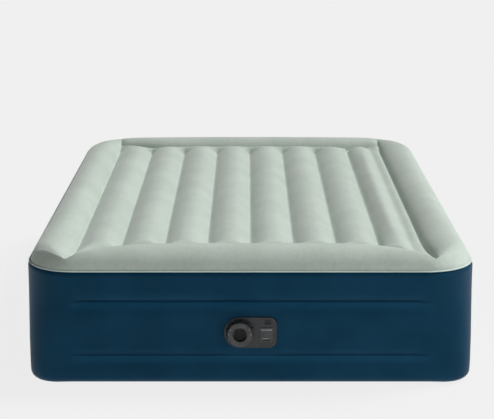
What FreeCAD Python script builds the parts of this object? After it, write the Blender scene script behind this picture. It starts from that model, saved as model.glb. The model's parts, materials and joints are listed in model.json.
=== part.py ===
"""Queen-size air bed with a raised edge roll, eight lengthwise channels and a mains pump in its foot wall.

Millimetres. +Z is up, X runs across the bed and Y along it. The origin is the middle of the underside, and
the pump is in the wall that faces -Y. Pump pieces are drawn in the pump's own axes, x right, y up and z out
of the wall, with the origin at the middle of the face plate on the wall's outer face.
"""

import FreeCAD
import Part
import Sketcher
import math
import os

SIZES = (
    # The bag
    ("bed_width", 1520),
    ("bed_length", 2030),
    ("bed_height", 460),
    ("corner_radius", 170),
    ("skin", 1.5),
    ("seam_height", 400),
    ("seam_inset", 6),
    ("seam_lap", 10),
    ("roll_width", 160),
    ("weld_height", 415),
    ("weld_width", 8),
    ("channel_count", 8),
    ("channel_height", 448),
    ("channel_end", 70),
    ("wall_inset", 6),
    ("wall_bulge", 5.3),
    ("groove_depth", 8),
    ("groove_run", 20),
    ("upper_groove_height", 295),
    ("lower_groove_height", 105),
    ("foot_radius", 42),
    ("foot_lap", 10),
    ("tie_end_gap", 2),
    ("edge_beam_gap", 20),
    ("inner_beam_gap", 70),
    # The pump's face
    ("pump_height", 187),
    ("plate_width", 178),
    ("plate_height", 108),
    ("plate_corner", 26),
    ("plate_thick", 4),
    ("plate_edge", 1.5),
    ("wall_hole_inset", 7),
    ("collar_lap", 5),
    ("collar_thick", 2),
    ("screw_inset", 3.5),
    ("screw_radius", 1.5),
    ("screw_head_radius", 2.6),
    ("screw_head_depth", 1.8),
    ("screw_length", 14),
    ("screw_row_x", 24),
    ("screw_ring_radius", 36.4),
    ("fit_gap", 0.2),
    # The case behind the wall
    ("deck_thick", 3),
    ("case_inset", 9),
    ("case_wall", 2),
    ("front_case_depth", 60),
    ("case_depth", 110),
    ("floor_depth", 44),
    ("floor_thick", 2.5),
    ("post_radius", 3.2),
    ("case_screw_radius", 1.25),
    ("case_screw_bite", 8),
    # The dial and its drum
    ("dial_radius", 48.5),
    ("dial_front_radius", 41.5),
    ("dial_flange", 4.5),
    ("dial_out", 30),
    ("dial_wall", 2.5),
    ("grip_count", 12),
    ("grip_radius", 8),
    ("grip_depth", 1.9),
    ("inlet_radius", 24.5),
    ("inlet_depth", 13.5),
    ("grille_thick", 2),
    ("grille_bar", 1.6),
    ("ledge", 3.5),
    ("drum_wall", 3.5),
    ("drum_end_gap", 4),
    ("turn_gap", 0.4),
    ("lift_gap", 0.6),
    ("seal_radius", 1.05),
    ("seal_groove_depth", 2),
    ("seal_groove_width", 3.2),
    ("seal_place", 12),
    ("port_width", 22),
    # The cord locker and its door
    ("locker_side_gap", 4),
    ("locker_bottom", -33.5),
    ("locker_width", 39),
    ("locker_height", 50),
    ("locker_depth", 94),
    ("locker_wall", 1.8),
    ("door_seat", 2),
    ("door_gap", 0.4),
    ("hinge_pin_radius", 1),
    ("hinge_pin_hold", 4),
    ("pin_gap", 0.1),
    ("lip_width", 24),
    ("lip_height", 5),
    ("lip_out", 3.5),
    ("gland_radius", 5),
    ("gland_neck_radius", 3.8),
    ("cord_hole_radius", 3),
    ("gland_head", 2.5),
    # The switch
    ("switch_x", 59),
    ("switch_y", 35),
    ("switch_width", 21),
    ("switch_height", 14.5),
    ("switch_body_width", 19),
    ("switch_body_height", 11.5),
    ("switch_flange", 1.8),
    ("switch_depth", 13),
    ("rocker_width", 15.4),
    ("rocker_height", 8),
    ("rocker_tilt", 9),
    ("rocker_out", 3.6),
    ("rocker_dip", 2.6),
    ("rocker_depth", 3),
    ("pivot_radius", 0.9),
    ("terminal_width", 4.8),
    ("terminal_thick", 0.8),
    ("terminal_length", 8),
    # Fan and motor
    ("fan_case_radius", 34),
    ("fan_case_wall", 2),
    ("fan_case_depth", 17.5),
    ("fan_inlet_radius", 16),
    ("impeller_radius", 30.5),
    ("impeller_gap", 1.5),
    ("impeller_disc", 1.5),
    ("blade_count", 10),
    ("blade_thick", 1.4),
    ("blade_height", 9),
    ("hub_radius", 7),
    ("motor_radius", 19),
    ("motor_length", 32),
    ("motor_wall", 1.2),
    ("motor_cap_thick", 3),
    ("magnet_thick", 3),
    ("magnet_gap", 1),
    ("armature_length", 20),
    ("slot_count", 3),
    ("slot_width", 3),
    ("shaft_radius", 2),
    ("shaft_gap", 0.05),
    ("bush_radius", 4),
    ("bush_length", 4),
    ("motor_screw_length", 5),
    ("motor_screw_place", 13.5),
    # The check flap at the back of the case
    ("outlet_radius", 14),
    ("flap_radius", 18.5),
    ("flap_thick", 2.5),
    ("flap_seal_thick", 1.5),
    ("flap_seal_width", 3.5),
    ("flap_gap", 0.3),
    ("flap_hinge_place", 22.5),
    ("flap_barrel_radius", 2.4),
    ("flap_barrel_length", 16),
    ("flap_pin_radius", 1.2),
    ("flap_lug_width", 3),
    ("flap_arm_width", 10),
)


class Length:
    """A number with the spreadsheet expression that gives it, so that arithmetic keeps both."""

    def __init__(self, value, text):
        self.value = value
        self.text = text

    def _with(self, other, sign, value, swap=False):
        text = other.text if isinstance(other, Length) else repr(other)
        pair = (text, self.text) if swap else (self.text, text)
        return Length(value, f"({pair[0]} {sign} {pair[1]})")

    def __add__(self, other):
        return self._with(other, "+", self.value + number(other))

    def __radd__(self, other):
        return self._with(other, "+", number(other) + self.value, swap=True)

    def __sub__(self, other):
        return self._with(other, "-", self.value - number(other))

    def __rsub__(self, other):
        return self._with(other, "-", number(other) - self.value, swap=True)

    def __mul__(self, other):
        return self._with(other, "*", self.value * number(other))

    def __rmul__(self, other):
        return self._with(other, "*", number(other) * self.value, swap=True)

    def __truediv__(self, other):
        return self._with(other, "/", self.value / number(other))

    def __neg__(self):
        return Length(-self.value, f"(0 - {self.text})")


def number(size):
    return size.value if isinstance(size, Length) else size


def as_length(size):
    return size if isinstance(size, Length) else Length(size, repr(size))


def root(size):
    return Length(math.sqrt(size.value), f"sqrt({size.text})")


class Sheet:
    """The spreadsheet of driving sizes. Each size is an attribute that holds its Length."""

    def __init__(self, doc):
        cells = doc.addObject("Spreadsheet::Sheet", "Sizes")
        for row, (name, value) in enumerate(SIZES, start=1):
            cells.set(f"A{row}", name)
            cells.set(f"B{row}", str(value))
            cells.setAlias(f"B{row}", name)
            setattr(self, name, Length(value, f"Sizes.{name}"))


doc = FreeCAD.newDocument("AirBed")
s = Sheet(doc)
doc.recompute()
sub_parts = []

dial_x = -(s.plate_width - s.plate_height) / 2
corner_x = s.plate_width / 2 - s.plate_corner
corner_y = s.plate_height / 2 - s.plate_corner


# Drawing helpers. A loop is a function that draws one closed outline in a sketch.

def at(sketch, geometry, point, x, y):
    """Fix a point of the sketch at (x, y)."""
    for kind, place, axis in (("DistanceX", as_length(x), -2), ("DistanceY", as_length(y), -1)):
        if place.value == 0:
            sketch.addConstraint(Sketcher.Constraint("PointOnObject", geometry, point, axis))
        else:
            index = sketch.addConstraint(Sketcher.Constraint(kind, -1, 1, geometry, point, place.value))
            sketch.setExpression(f"Constraints[{index}]", place.text)


def fix_radius(sketch, geometry, radius):
    index = sketch.addConstraint(Sketcher.Constraint("Radius", geometry, number(radius)))
    sketch.setExpression(f"Constraints[{index}]", as_length(radius).text)


def circle(x, y, radius):
    def draw(sketch):
        centre = FreeCAD.Vector(number(x), number(y), 0)
        index = sketch.addGeometry(Part.Circle(centre, FreeCAD.Vector(0, 0, 1), number(radius)))
        at(sketch, index, 3, x, y)
        fix_radius(sketch, index, radius)
    return draw


def polygon(*points):
    def draw(sketch):
        places = [FreeCAD.Vector(number(x), number(y), 0) for x, y in points]
        lines = [sketch.addGeometry(Part.LineSegment(first, second))
                 for first, second in zip(places, places[1:] + places[:1])]
        for line, following, (x, y) in zip(lines[-1:] + lines[:-1], lines, points):
            sketch.addConstraint(Sketcher.Constraint("Coincident", line, 2, following, 1))
            at(sketch, following, 1, x, y)
    return draw


def rectangle(left, bottom, width, height):
    right, top = left + width, bottom + height
    return polygon((left, bottom), (right, bottom), (right, top), (left, top))


def centred_rectangle(x, y, width, height):
    return rectangle(x - width / 2, y - height / 2, width, height)


def plate_outline(inset):
    """The pump's face outline, moved inwards: a half circle round the dial and two rounded corners."""
    def draw(sketch):
        z_axis = FreeCAD.Vector(0, 0, 1)
        arcs = ((dial_x, as_length(0), s.plate_height / 2 - inset, 90, 270),
                (corner_x, -corner_y, s.plate_corner - inset, 270, 360),
                (corner_x, corner_y, s.plate_corner - inset, 0, 90))
        indices = []
        for x, y, radius, start, end in arcs:
            round_ = Part.Circle(FreeCAD.Vector(x.value, y.value, 0), z_axis, number(radius))
            index = sketch.addGeometry(Part.ArcOfCircle(round_, math.radians(start), math.radians(end)))
            at(sketch, index, 3, x, y)
            fix_radius(sketch, index, radius)
            indices.append(index)
        for index, following in zip(indices, indices[1:] + indices[:1]):
            first = sketch.Geometry[index].EndPoint
            second = sketch.Geometry[following].StartPoint
            line = sketch.addGeometry(Part.LineSegment(first, second))
            sketch.addConstraint(Sketcher.Constraint("Tangent", index, 2, line, 1))
            sketch.addConstraint(Sketcher.Constraint("Tangent", line, 2, following, 1))
    return draw


def place(thing, base, turn=None):
    """Put a sub-part at (x, y, z), with each coordinate bound to the sheet, and turned by `turn`."""
    thing.Placement = FreeCAD.Placement(FreeCAD.Vector(*map(number, base)), turn or FreeCAD.Rotation())
    for axis, coordinate in zip("xyz", base):
        if isinstance(coordinate, Length):
            thing.setExpression(f"Placement.Base.{axis}", coordinate.text)


def new_body(label, base=(0, 0, 0), turn=None):
    body = doc.addObject("PartDesign::Body", label)
    body.Label = label
    place(body, base, turn)
    sub_parts.append(body)
    return body


OUT_OF_WALL = FreeCAD.Rotation(FreeCAD.Vector(1, 0, 0), 90)


def pump_body(label, x=0, y=0, z=0, turn=None):
    """A body drawn in the pump's axes, with its own origin at (x, y, z) of them."""
    base = (as_length(x), -(s.bed_length / 2 - s.wall_inset) - z, s.pump_height + y)
    return new_body(label, base, OUT_OF_WALL * turn if turn else OUT_OF_WALL)


def sketch_on(body, loops, role="XY_Plane", offset=0):
    """A sketch on one of the body's own planes, moved by `offset` along the plane's normal."""
    sketch = body.newObject("Sketcher::SketchObject", f"{body.Name}Sketch")
    plane = next(feature for feature in body.Origin.OriginFeatures if feature.Role == role)
    sketch.AttachmentSupport = (plane, [""])
    sketch.MapMode = "FlatFace"
    offset = as_length(offset)
    sketch.AttachmentOffset = FreeCAD.Placement(FreeCAD.Vector(0, 0, offset.value), FreeCAD.Rotation())
    sketch.setExpression("AttachmentOffset.Base.z", offset.text)
    for loop in loops:
        loop(sketch)
    sketch.Visibility = False
    return sketch


def feature(body, kind, sketch, **expressions):
    made = body.newObject(f"PartDesign::{kind}", f"{body.Name}{kind}")
    made.Profile = sketch
    for name, size in expressions.items():
        setattr(made, name, number(size))
        made.setExpression(name, as_length(size).text)
    body.Tip = made
    return made


def pad(body, low, high, *loops, role="XY_Plane"):
    """Material from `low` to `high` along the plane's normal."""
    return feature(body, "Pad", sketch_on(body, loops, role, low), Length=high - low)


def cut(body, low, high, *loops, role="XY_Plane"):
    """Remove the material from `low` to `high` along the plane's normal."""
    made = feature(body, "Pocket", sketch_on(body, loops, role, low), Length=high - low)
    made.Reversed = True
    return made


def spun(body, kind, *loops):
    """A Revolution or Groove about the body's Z axis of loops drawn as (radius, height)."""
    sketch = sketch_on(body, loops, "XZ_Plane")
    made = feature(body, kind, sketch)
    made.ReferenceAxis = (sketch, ["V_Axis"])
    made.Angle = 360
    return made


def around(body, original, count):
    """Repeat a feature round the body's Z axis."""
    made = body.newObject("PartDesign::PolarPattern", f"{body.Name}Pattern")
    made.Originals = [original]
    made.Axis = (next(item for item in body.Origin.OriginFeatures if item.Role == "Z_Axis"), [""])
    made.Angle = 360
    made.Occurrences = int(number(count))
    made.setExpression("Occurrences", as_length(count).text)
    original.Visibility = False
    body.Tip = made
    return made


def round_front_edge(body, radius):
    """Fillet the whole edge of the body's foremost face."""
    doc.recompute()
    base = body.Tip
    heights = [face.CenterOfMass.z for face in base.Shape.Faces]
    front = heights.index(max(heights)) + 1
    made = body.newObject("PartDesign::Fillet", f"{body.Name}Fillet")
    made.Base = (base, [f"Face{front}"])
    made.Radius = number(radius)
    made.setExpression("Radius", radius.text)
    body.Tip = made


# The bag. Its film is drawn as a line of (inset from the bed's edge, height), thickened inwards, and taken
# round the bed's rounded outline.

def vector(inset, height):
    return FreeCAD.Vector(0, inset, height)


def face_from(start, *steps):
    """A face bounded by lines and arcs. A step is (end,) for a line or (middle, end) for an arc."""
    edges = []
    here = vector(*start)
    for step in steps:
        end = vector(*step[-1])
        if len(step) == 1:
            edges.append(Part.makeLine(here, end))
        else:
            edges.append(Part.Arc(here, vector(*step[0]), end).toShape())
        here = end
    edges.append(Part.makeLine(here, vector(*start)))
    return Part.Face(Part.Wire(edges))


def thickened(face, low, high):
    """The film along a face's edge, kept inside the rectangle from `low` to `high`."""
    film = face.cut(face.makeOffset2D(-film_thick, 2))
    kept = Part.makeBox(2, high[0] - low[0], high[1] - low[1], FreeCAD.Vector(-1, low[0], low[1]))
    return film.common(kept)


def quarter_turn_mid(centre, start, end):
    """The middle of the arc about `centre` from `start` to `end`."""
    arms = [FreeCAD.Vector(0, *point) - FreeCAD.Vector(0, *centre) for point in (start, end)]
    across = (arms[0].normalize() + arms[1].normalize()).normalize()
    radius = math.dist(centre, start)
    return (centre[0] + across.y * radius, centre[1] + across.z * radius)


def round_the_bed(section):
    """Take a section, drawn at the foot edge, round the bed: half of each side and a corner, mirrored."""
    half_x, half_y = bed_w / 2, bed_l / 2
    corner = FreeCAD.Vector(half_x - corner_r, corner_r - half_y, 0)
    at_foot = section.translated(FreeCAD.Vector(0, -half_y, 0))
    foot = at_foot.extrude(FreeCAD.Vector(corner.x, 0, 0))
    at_corner = at_foot.translated(FreeCAD.Vector(corner.x, 0, 0))
    bend = at_corner.revolve(corner, FreeCAD.Vector(0, 0, 1), 90)
    at_side = at_corner.rotated(corner, FreeCAD.Vector(0, 0, 1), 90)
    side = at_side.extrude(FreeCAD.Vector(0, -corner.y, 0))
    quarter = foot.fuse([bend, side])
    half = quarter.fuse(quarter.mirror(FreeCAD.Vector(), FreeCAD.Vector(1, 0, 0)))
    return half.fuse(half.mirror(FreeCAD.Vector(), FreeCAD.Vector(0, 1, 0))).removeSplitter()


def outline_prism(inset, low, high):
    """A slab with the bed's outline moved in by `inset`."""
    radius = corner_r - inset
    slab = Part.makeBox(bed_w - 2 * inset, bed_l - 2 * inset, high - low,
                        FreeCAD.Vector(inset - bed_w / 2, inset - bed_l / 2, low))
    upright = [edge for edge in slab.Edges if abs(edge.tangentAt(edge.FirstParameter).z) > 0.9]
    return slab.makeFillet(radius, upright)


def add_shape(label, shape, base=(0, 0, 0), turn=None):
    thing = doc.addObject("Part::Feature", label)
    thing.Label = label
    thing.Shape = shape
    place(thing, base, turn)
    sub_parts.append(thing)
    return thing


film_thick = s.skin.value
bed_w, bed_l, bed_h = s.bed_width.value, s.bed_length.value, s.bed_height.value
corner_r = s.corner_radius.value
seam_z, seam_u = s.seam_height.value, s.seam_inset.value
weld_z = s.weld_height.value
roll_w = s.roll_width.value
lap_z = seam_z - s.seam_lap.value

# Top sheet: the roll is a quarter round over the seam and a flatter arc down to the weld line.
crest = (seam_u + bed_h - seam_z, bed_h)
roll_start = (seam_u, seam_z)
roll_end = (roll_w, weld_z)
outer_centre = (crest[0], seam_z)
drop = crest[1] - weld_z
inner_radius = ((roll_w - crest[0]) ** 2 + drop ** 2) / (2 * drop)
inner_centre = (crest[0], crest[1] - inner_radius)
spare = 4 * film_thick
roll_face = face_from((seam_u, lap_z - spare), (roll_start,),
                      (quarter_turn_mid(outer_centre, roll_start, crest), crest),
                      (quarter_turn_mid(inner_centre, crest, roll_end), roll_end),
                      ((roll_w + spare, weld_z),), ((roll_w + spare, lap_z - spare),))
roll = round_the_bed(thickened(roll_face, (0, lap_z), (roll_w, bed_h + 1)))

channels = int(s.channel_count.value)
pitch = (bed_w - 2 * roll_w) / channels
weld_w = s.weld_width.value
crown_z = s.channel_height.value
field_low = weld_z - film_thick


def arch(middle, reach, rise, inset):
    """The ends and top of an arc over the weld line, moved in by `inset` about its own centre."""
    radius = (reach ** 2 + rise ** 2) / (2 * rise)
    centre = weld_z + rise - radius
    half = math.sqrt((radius - inset) ** 2 - (weld_z - inset - centre) ** 2)
    return (middle - half, weld_z - inset), (middle, weld_z + rise - inset), (middle + half, weld_z - inset)


def crowned_face(low, inset):
    """Section across the channels, with its flat base at `low`."""
    half = channels * pitch / 2
    steps = []
    for index in range(channels):
        left, top, right = arch((index + 0.5) * pitch - half, (pitch - weld_w) / 2, crown_z - weld_z, inset)
        steps += [(left,), (top, right)]
    half -= inset
    top_z = weld_z - inset
    return face_from((-half, low), ((-half, top_z),), *steps, ((half, top_z),), ((half, low),))


def ended_face(low, inset):
    """Section along a channel, with its flat base at `low` and a round fall at both ends."""
    reach = s.channel_end.value
    foot, top, _ = arch(reach + roll_w - bed_l / 2, reach, crown_z - weld_z, inset)
    centre = (top[0], top[1] + inset - (reach ** 2 + (crown_z - weld_z) ** 2) / (2 * (crown_z - weld_z)))
    middle = quarter_turn_mid(centre, foot, top)
    return face_from((foot[0], low), (foot,), (middle, top), ((-top[0], top[1]),),
                     ((-middle[0], middle[1]), (-foot[0], foot[1])), ((-foot[0], low),))


def channel_block(low, inset):
    """The channels as a block, with its base at `low` and its other faces moved in by `inset`."""
    across = crowned_face(low, inset).rotated(FreeCAD.Vector(), FreeCAD.Vector(0, 0, 1), -90)
    across = across.translated(FreeCAD.Vector(0, -bed_l / 2, 0)).extrude(FreeCAD.Vector(0, bed_l, 0))
    along = ended_face(low, inset).translated(FreeCAD.Vector(-bed_w / 2, 0, 0))
    return across.common(along.extrude(FreeCAD.Vector(bed_w, 0, 0)))


channel_field = channel_block(field_low, 0).cut(channel_block(field_low - spare, film_thick))
channel_field = channel_field.common(outline_prism(roll_w, field_low - 1, bed_h))
add_shape("top_sheet", roll.fuse(channel_field).removeSplitter())

# Side wall: a bulge under the seam, a flat band between the two grooves and a round foot.
wall_u = s.wall_inset.value
groove_u = wall_u + s.groove_depth.value
run = s.groove_run.value
upper_z, lower_z = s.upper_groove_height.value, s.lower_groove_height.value
under_lap = seam_u + film_thick
foot_r = s.foot_radius.value
bulge_mid = ((under_lap + groove_u) / 2 - s.wall_bulge.value * 2, (lap_z + upper_z) / 2)
ease = s.groove_depth.value / 3.6


def wall_line(inset):
    """The wall's section from the seam down to its foot lap, moved in by `inset`."""
    flat = wall_u + inset
    notch = groove_u + inset
    foot = (flat, foot_r + film_thick)
    lap_start = (wall_u + foot_r, film_thick + inset)
    foot_mid = quarter_turn_mid((wall_u + foot_r, foot_r + film_thick), foot, lap_start)
    return [((under_lap + inset, seam_z),), ((under_lap + inset, lap_z),),
            ((bulge_mid[0] + inset, bulge_mid[1]), (notch, upper_z)),
            ((flat + ease, upper_z - run / 2), (flat, upper_z - run)), ((flat, lower_z + run),),
            ((flat + ease, lower_z + run / 2), (notch, lower_z)),
            ((flat + ease, lower_z - run / 2), (flat, lower_z - run)), (foot,), (foot_mid, lap_start),
            ((lap_start[0] + s.foot_lap.value, lap_start[1]),)]


outside, inside = wall_line(0), wall_line(film_thick)
back_up = [step[:-1] + (before[-1],) for before, step in zip(inside[:-1], inside[1:])][::-1]
wall_face = face_from(outside[0][0], *outside[1:], inside[-1], *back_up)
wall = round_the_bed(wall_face)


pump_place = FreeCAD.Placement(FreeCAD.Vector(0, wall_u - bed_l / 2, s.pump_height.value), OUT_OF_WALL)


def plate_prism(inset, low, high):
    """A slab with the pump's face outline moved in by `inset`, in its place on the wall."""
    half, corner = (s.plate_height / 2 - inset).value, (s.plate_corner - inset).value
    left, right, rise = dial_x.value, corner_x.value, corner_y.value
    depth = high - low
    slab = Part.makeCylinder(half, depth, FreeCAD.Vector(left, 0, low))
    for y in (-rise, rise):
        slab = slab.fuse(Part.makeCylinder(corner, depth, FreeCAD.Vector(right, y, low)))
    slab = slab.fuse(Part.makeBox(right - left, 2 * half, depth, FreeCAD.Vector(left, -half, low)))
    right_side = Part.makeBox(corner, 2 * rise, depth, FreeCAD.Vector(right, -rise, low))
    slab = slab.fuse(right_side).removeSplitter()
    slab.Placement = pump_place
    return slab


# The plate's screws: four through the wall's film and four more under the dial.
screw_edge = s.plate_height / 2 - s.screw_inset
screw_reach = s.plate_corner - s.screw_inset
slant = math.sqrt(0.5)
screw_places = [(s.screw_row_x, screw_edge), (s.screw_row_x, -screw_edge),
                (corner_x + screw_reach * slant, corner_y + screw_reach * slant),
                (corner_x + screw_reach * slant, -corner_y - screw_reach * slant)]
screw_places += [(dial_x + s.screw_ring_radius * (slant * right), s.screw_ring_radius * (slant * up))
                 for right in (1, -1) for up in (1, -1)]

opening = plate_prism(s.wall_hole_inset, -2 * groove_u, 2 * groove_u)
for x, y in screw_places[:4]:
    start = FreeCAD.Vector(x.value, y.value, -2 * groove_u)
    hole = Part.makeCylinder(s.screw_radius.value, 4 * groove_u, start)
    hole.Placement = pump_place
    opening = opening.fuse(hole)
add_shape("side_wall", wall.cut(opening).Solids[0])
add_shape("bottom_sheet", outline_prism(wall_u + foot_r, 0, film_thick))


def strip(label, width, length, height, centre):
    """A flat internal strip, `width` along X, `length` along Y and `height` along Z."""
    made = doc.addObject("Part::Box", label)
    made.Label = label
    for name, size in (("Length", width), ("Width", length), ("Height", height)):
        setattr(made, name, number(size))
        made.setExpression(name, size.text)
    place(made, (centre[0] - width / 2, centre[1] - length / 2, centre[2] - height / 2))
    sub_parts.append(made)


# Internal strips: one under each groove of the top, one under each end of the channel field, and ties that
# pull the wall in at its two grooves.
beam_height = s.weld_height - s.skin * 2
beam_centre = s.skin + beam_height / 2
field_width = s.bed_width - s.roll_width * 2
field_half_length = s.bed_length / 2 - s.roll_width
for index in range(channels + 1):
    gap = s.edge_beam_gap if index in (0, channels) else s.inner_beam_gap
    x = field_width * index / channels - field_width / 2
    strip(f"channel_beam_{index + 1}", s.skin, (field_half_length - gap) * 2, beam_height,
          (x, as_length(0), beam_centre))
wall_inner = s.wall_inset + s.groove_depth + s.skin
for end, side in (("foot", -1), ("head", 1)):
    y = field_half_length * side
    place_of_beam = (as_length(0), y, beam_centre)
    strip(f"{end}_beam", field_width - s.edge_beam_gap * 2, s.skin, beam_height, place_of_beam)
tie_reach = s.roll_width - wall_inner - s.skin / 2
tie_middle = wall_inner + tie_reach / 2
for level, height in (("upper", s.upper_groove_height), ("lower", s.lower_groove_height)):
    for end, side in (("foot", -1), ("head", 1)):
        strip(f"{end}_tie_{level}", s.bed_width - (s.corner_radius + s.tie_end_gap) * 2, tie_reach, s.skin,
              (as_length(0), (s.bed_length / 2 - tie_middle) * side, height))
    for hand, side in (("left", -1), ("right", 1)):
        strip(f"{hand}_tie_{level}", tie_reach, (field_half_length - s.edge_beam_gap) * 2, s.skin,
              ((s.bed_width / 2 - tie_middle) * side, as_length(0), height))

# The pump's face plate. The dial stands over its half-round end, the cord door and the switch beside it.
plate_back = as_length(0)
deck_front = -(s.skin + s.collar_thick)
deck_back = deck_front - s.deck_thick
locker_left = s.plate_width / 2 - s.case_inset - s.case_wall - s.locker_side_gap - s.locker_width
seat_left = locker_left - s.door_seat
seat_bottom = s.locker_bottom - s.door_seat
seat_width = s.locker_width + s.door_seat * 2
seat_height = s.locker_height + s.door_seat * 2
seat_middle = seat_left + seat_width / 2
hinge_radius = s.plate_thick / 2
hinge_y = seat_bottom + seat_height - s.door_gap * 1.5 - hinge_radius
drum_radius = s.inlet_radius + s.drum_wall
sleeve_bore = drum_radius + s.turn_gap
face_plate = pump_body("face_plate")
pad(face_plate, plate_back, s.plate_thick, plate_outline(0))
round_front_edge(face_plate, s.plate_edge)
cut(face_plate, plate_back, s.plate_thick,
    circle(dial_x, 0, drum_radius + s.lift_gap),
    rectangle(seat_left, seat_bottom, seat_width, seat_height),
    centred_rectangle(s.switch_x, s.switch_y, s.switch_body_width + s.fit_gap * 2,
                      s.switch_body_height + s.fit_gap * 2))
cut(face_plate, plate_back, s.plate_thick, *[circle(x, y, s.screw_radius) for x, y in screw_places])
cut(face_plate, s.plate_thick - s.screw_head_depth, s.plate_thick,
    *[circle(x, y, s.screw_head_radius) for x, y in screw_places])
cut(face_plate, seat_left - s.hinge_pin_hold, seat_left + seat_width + s.hinge_pin_hold,
    circle(hinge_y, hinge_radius, s.hinge_pin_radius), role="YZ_Plane")

weld_collar = pump_body("weld_collar")
pad(weld_collar, deck_front, deck_front + s.collar_thick,
    plate_outline(-s.collar_lap), plate_outline(s.wall_hole_inset))
cut(weld_collar, deck_front, deck_front + s.collar_thick,
    *[circle(x, y, s.screw_radius) for x, y in screw_places[:4]])

# The case: a deck behind the wall with the drum's sleeve and the fan's floor, and a cup over its back.
case_front_end = -s.front_case_depth
case_back = -s.case_depth
floor_front = -s.floor_depth
floor_back = floor_front - s.floor_thick
case_outline = plate_outline(s.case_inset)
case_inside = plate_outline(s.case_inset + s.case_wall)
case_half = s.plate_height / 2 - s.case_inset
post_ring = case_half - s.case_wall - s.post_radius * 0.8
post_places = [(dial_x - post_ring * slant, post_ring * slant), (dial_x - post_ring * slant, -post_ring * slant),
               (s.screw_row_x - 2, post_ring), (s.screw_row_x - 2, -post_ring),
               (s.plate_width / 2 - s.case_inset - s.case_wall - s.post_radius * 0.8, corner_y)]
locker_outer_left = locker_left - s.locker_wall
locker_outer_bottom = s.locker_bottom - s.locker_wall
locker_outer_width = s.locker_width + s.locker_wall * 2
locker_outer_height = s.locker_height + s.locker_wall * 2
sleeve_outer = sleeve_bore + s.case_wall

front_case = pump_body("front_case")
pad(front_case, deck_back, deck_front, plate_outline(0))
pad(front_case, case_front_end, deck_back, case_outline, case_inside)
pad(front_case, floor_back, deck_back, circle(dial_x, 0, sleeve_outer), circle(dial_x, 0, sleeve_bore))
pad(front_case, floor_back, floor_front, circle(dial_x, 0, s.fan_case_radius + s.case_wall))
pad(front_case, case_front_end, deck_back, *[circle(x, y, s.post_radius) for x, y in post_places])
pad(front_case, deck_back - s.screw_length / 2, deck_back,
    *[circle(x, y, s.screw_head_radius) for x, y in screw_places[4:]])
cut(front_case, deck_back, deck_front,
    circle(dial_x, 0, sleeve_bore),
    rectangle(locker_outer_left - s.fit_gap, locker_outer_bottom - s.fit_gap,
              locker_outer_width + s.fit_gap * 2, locker_outer_height + s.fit_gap * 2),
    centred_rectangle(s.switch_x, s.switch_y, s.switch_body_width + s.fit_gap * 2,
                      s.switch_body_height + s.fit_gap * 2))
cut(front_case, floor_back, floor_front, circle(dial_x, 0, s.fan_inlet_radius))
screw_holes = [circle(x, y, s.screw_radius) for x, y in screw_places]
cut(front_case, s.plate_thick - s.screw_length, deck_front, *screw_holes)
cut(front_case, case_front_end, case_front_end + s.post_radius * 3,
    *[circle(x, y, s.case_screw_radius) for x, y in post_places])
port_middle = (deck_back + floor_front) / 2
port_low = port_middle - s.port_width / 2
cut(front_case, port_low, port_low + s.port_width,
    centred_rectangle(dial_x, -sleeve_bore, s.port_width, s.case_wall * 4),
    centred_rectangle(dial_x, sleeve_bore, s.port_width, s.case_wall * 4))

rear_case = pump_body("rear_case")
pad(rear_case, case_back, case_back + s.case_wall * 1.25, case_outline)
pad(rear_case, case_back, case_front_end, case_outline, case_inside)
pad(rear_case, case_back, case_front_end, *[circle(x, y, s.post_radius) for x, y in post_places])
cut(rear_case, case_back, case_back + s.case_wall * 1.25, circle(0, 0, s.outlet_radius))
cut(rear_case, case_back, case_front_end, *[circle(x, y, s.case_screw_radius) for x, y in post_places])
cut(rear_case, case_back, case_back + s.screw_head_depth,
    *[circle(x, y, s.screw_head_radius) for x, y in post_places])
flap_axis_z = case_back - s.flap_gap - s.flap_seal_thick - s.flap_thick / 2
lug_left = s.flap_barrel_length / 2 + s.turn_gap
lug_height = s.flap_barrel_radius * 2
pad(rear_case, flap_axis_z - s.flap_barrel_radius, case_back,
    *[rectangle(x, s.flap_hinge_place - s.flap_barrel_radius, s.flap_lug_width, lug_height)
      for x in (lug_left, -lug_left - s.flap_lug_width)])
cut(rear_case, -lug_left - s.flap_lug_width, lug_left + s.flap_lug_width,
    circle(s.flap_hinge_place, flap_axis_z, s.flap_pin_radius), role="YZ_Plane")


def screw_group(label, places, front, length, shank_radius, tip_first=False):
    """Identical screws with flush heads whose outer faces are at `front` and shanks go to the other side."""
    body = pump_body(label)
    depth = s.screw_head_depth
    head = (front, front + depth) if tip_first else (front - depth, front)
    shank = (front + depth, front + length) if tip_first else (front - length, front - depth)
    pad(body, *head, *[circle(x, y, s.screw_head_radius) for x, y in places])
    pad(body, *shank, *[circle(x, y, shank_radius) for x, y in places])


screw_group("plate_screws", screw_places, s.plate_thick, s.screw_length, s.screw_radius)
case_screw_length = s.case_depth - s.front_case_depth + s.case_screw_bite
screw_group("case_screws", post_places, case_back, case_screw_length, s.case_screw_radius, tip_first=True)

# The dial: a hollow knob with finger grips, its intake grille, and a drum that turns in the sleeve.
dial_back = s.plate_thick + s.lift_gap
drum_end = floor_front + s.drum_end_gap
grille_front = s.dial_out - s.inlet_depth
ledge_radius = s.inlet_radius - s.ledge
under_front = s.dial_out - s.dial_wall
flange_front = dial_back + s.dial_flange
seal_low = dial_back - s.seal_place - s.seal_groove_width

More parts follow.
